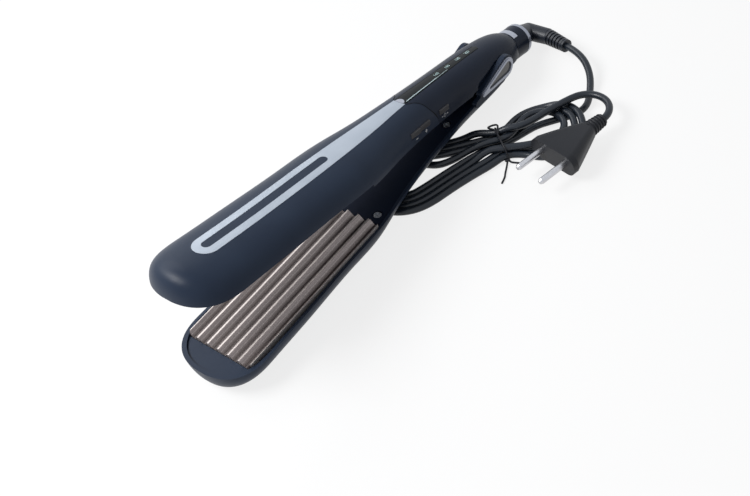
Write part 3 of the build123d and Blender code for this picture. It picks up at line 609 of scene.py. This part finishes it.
def power_sign():
    """Open ring with its line, and a short bar on each side of it."""
    out = ring_marks(KEY_POWER, MARK_Z, POWER_RADIUS, POWER_LINE, 35, 325)
    out.append(bar(KEY_POWER, POWER_LINE / 2, MARK_Z + POWER_STEM_UP, POWER_STEM_HALF))
    for side in (-1, 1):
        out.append(bar(KEY_POWER + side * DASH_OFF, DASH_HALF, MARK_Z, DASH_THICK_HALF))
    return out


def add_key_marks(made):
    """Minus, plus and power signs printed on the wall under their keys."""
    signs = (("front", minus_plus_signs()), ("rear", power_sign()))
    for end, faces in signs:
        wall = surface_of(end + "_shell")
        printed("key_marks_" + end, faces, wall, INWARD, PRINT_LIFT, made["print"])


# The window narrows evenly from its front end to its rear end.
WINDOW_FRONT = -82.6
WINDOW_LENGTH = 79.6
WINDOW_HALF = 4.0
WINDOW_NARROWS = 2.0
GAP_SPAN = (-79.0, -3.2)
GAP_WIDTH = (0.02, 0.42)
# Spans of the painted highlight strip along the window's near bevel.
GLINT_WIDE = (-78.0, -47.0)
GLINT_NARROW = (-47.0, -36.0)


def ribbon(points, low, high):
    """Faces of a narrow strip beside a plan line, from low to high mm off it in Y."""
    out = []
    for (xa, ya), (xb, yb) in zip(points, points[1:]):
        plan = ((xa, ya + low), (xb, yb + low), (xb, yb + high), (xa, ya + high))
        out.append([(x, y, OVERHEAD) for x, y in plan])
    return out


def window_side(x0, x1, side, count=24):
    """Plan points along one long edge of the window."""
    out = []
    for i in range(count + 1):
        x = x0 + (x1 - x0) * i / count
        out.append((x, side * (WINDOW_HALF - WINDOW_NARROWS * (x - WINDOW_FRONT) / WINDOW_LENGTH)))
    return out


def add_window_edges(made):
    """Painted shade in the gap all along the window, and a painted highlight along the bevel on its near
    side.
    """
    lens, rear = surface_of("window_lens"), surface_of("rear_shell")
    for side, name in ((-1, "near"), (1, "far")):
        # Near-black painted shade in the gap along each side of the window.
        strip = ribbon(window_side(*GAP_SPAN, side), side * GAP_WIDTH[0], side * GAP_WIDTH[1])
        printed("window_gap_" + name, strip, rear, DOWN, PRINT_LIFT, made["gap_shade"])
    # Painted highlight: a teal-white strip on the lens along its near edge, wide toward the front and thin
    # further back.
    bright = ribbon(window_side(*GLINT_WIDE, -1), 0.25, 0.85)
    bright += ribbon(window_side(*GLINT_NARROW, -1), 0.3, 0.6)
    printed("window_bevel_glint", bright, lens, DOWN, GLINT_LIFT, made["painted_glint"])


SEAM_POINTS = ((-63.1, 20.0), (-66.5, 17.2), (-70.2, 14.5), (-72.6, 10.6), (-75.6, 7.4), (-79.6, 5.2),
               (-80.6, 3.0), (-80.6, 0.0))
SEAM_HALF = 0.22
SEAM_STEPS = 6


def seam_line():
    """Plan of the curved seam on one side: a smooth curve through its points."""
    knots = [Vector(p) for p in SEAM_POINTS]
    out = []
    for a, b, c, d in zip(knots, knots[1:], knots[2:], knots[3:]):
        for i in range(SEAM_STEPS):
            t = i / SEAM_STEPS
            out.append(0.5 * ((2 * b) + (c - a) * t + (2 * a - 5 * b + 4 * c - d) * t * t
                              + (3 * b - a - 3 * c + d) * t * t * t))
    return out


def add_seam(made):
    """Shadow line of the seam between the two handle shells."""
    line = seam_line()
    shells = surface_of("front_shell", "rear_shell")
    for side, name in ((-1, "near"), (1, "far")):
        faces = []
        for p, q in zip(line, line[1:]):
            out = (q - p).normalized() * SEAM_HALF
            n = Vector((-out.y, out.x))
            corners = (p - n, q - n, q + n, p + n)
            faces.append([(c.x, side * c.y, OVERHEAD) for c in corners])
        printed("seam_" + name, faces, shells, DOWN, SEAM_LIFT, made["gap_shade"])


NUMBERS = (("140", -44.0), ("160", -33.0), ("180", -22.0), ("200", -12.0))
NUMBER_SIZE = 3.0


def number_faces(text, x):
    """Faces of a plain number whose middle is at x."""
    font = bpy.data.curves.new("digits", "FONT")
    font.body = text
    font.size = NUMBER_SIZE
    font.align_x = "CENTER"
    font.align_y = "CENTER"
    obj = link(bpy.data.objects.new("digits", font))
    mesh = as_mesh("digits", obj)
    bpy.data.objects.remove(obj)
    flat_points = [(x + v.co.x, v.co.y, OVERHEAD) for v in mesh.vertices]
    return [[flat_points[i] for i in face.vertices] for face in mesh.polygons]


def add_display(made):
    """Plain numbers of the temperature scale on the glossy window, in a pale teal that is partly a painted
    glint.
    """
    outlines = []
    for text, x in NUMBERS:
        outlines += number_faces(text, x)
    lens = surface_of("window_lens")
    printed("display_digits", outlines, lens, DOWN, NUMBER_LIFT, made["digit_glint"])


# ---- floor and light ---------------------------------------------------------------------------
FLOOR_HALF = 6.0
FLOOR_GLOW = 0.8
WORLD_LEVEL = 0.30
LAMPS = {
    "key": {"at": (-0.50, 0.42, 0.78), "to": (-0.10, 0, 0.03), "size": (0.50, 0.40), "power": 9.5},
    "rim": {"at": (0.10, 1.05, 0.85), "to": (0, 0, 0.03), "size": (1.1, 0.5), "power": 5.0},
}


def combined(nodes, links, operation, first, second):
    """Math node of two values; the second may be a plain number."""
    node = nodes.new("ShaderNodeMath")
    node.operation = operation
    links.new(first, node.inputs[0])
    if isinstance(second, float):
        node.inputs[1].default_value = second
    else:
        links.new(second, node.inputs[1])
    return node.outputs[0]


def background_share(nodes, links, weight):
    """Weight for rays that see the backdrop: camera, glossy and transmission rays."""
    path = nodes.new("ShaderNodeLightPath").outputs
    seen = combined(nodes, links, "MAXIMUM", path["Is Camera Ray"], path["Is Glossy Ray"])
    seen = combined(nodes, links, "MAXIMUM", seen, path["Is Transmission Ray"])
    return combined(nodes, links, "MULTIPLY", seen, weight)


def add_floor():
    mesh = bpy.data.meshes.new("floor")
    h = FLOOR_HALF
    mesh.from_pydata([(-h, -h, 0), (h, -h, 0), (h, h, 0), (-h, h, 0)], [], [(0, 1, 2, 3)])
    floor = link(bpy.data.objects.new("floor", mesh))
    mat, nodes, links, shader = new_material("floor", (0.9, 0.9, 0.905), 0.9)
    digit_glint = nodes.new("ShaderNodeEmission")
    mix = nodes.new("ShaderNodeMixShader")
    links.new(background_share(nodes, links, FLOOR_GLOW), mix.inputs["Fac"])
    links.new(shader.outputs["BSDF"], mix.inputs[1])
    links.new(digit_glint.outputs["Emission"], mix.inputs[2])
    links.new(mix.outputs["Shader"], nodes["Material Output"].inputs["Surface"])
    mesh.materials.append(mat)


def add_world():
    """Even soft light on the object, white where the backdrop is seen."""
    world = bpy.data.worlds.new("world")
    bpy.context.scene.world = world
    world.use_nodes = True
    nodes, links = world.node_tree.nodes, world.node_tree.links
    back = nodes["Background"]
    back.inputs["Color"].default_value = (0.93, 0.96, 1.0, 1.0)
    level = span(nodes, links, background_share(nodes, links, 1.0), WORLD_LEVEL, 1.0)
    links.new(level, back.inputs["Strength"])


def add_lamp(name, at, to, size, power):
    data = bpy.data.lights.new(name, "AREA")
    data.shape = "RECTANGLE"
    data.size, data.size_y = size
    data.energy = power
    lamp = link(bpy.data.objects.new(name, data))
    lamp.location = at
    lamp.rotation_euler = (Vector(to) - Vector(at)).to_track_quat("-Z", "Y").to_euler()


def add_light():
    add_world()
    for name, lamp in LAMPS.items():
        add_lamp(name, **lamp)


add_camera()
made = make_materials()
dress_nodes(made)
add_cord(made, [add_twist_tie(made), add_plug_ribs(made)])
add_key_marks(made)
add_display(made)
add_window_edges(made)
add_seam(made)
add_floor()
add_light()
bpy.context.scene.view_settings.view_transform = "Standard"
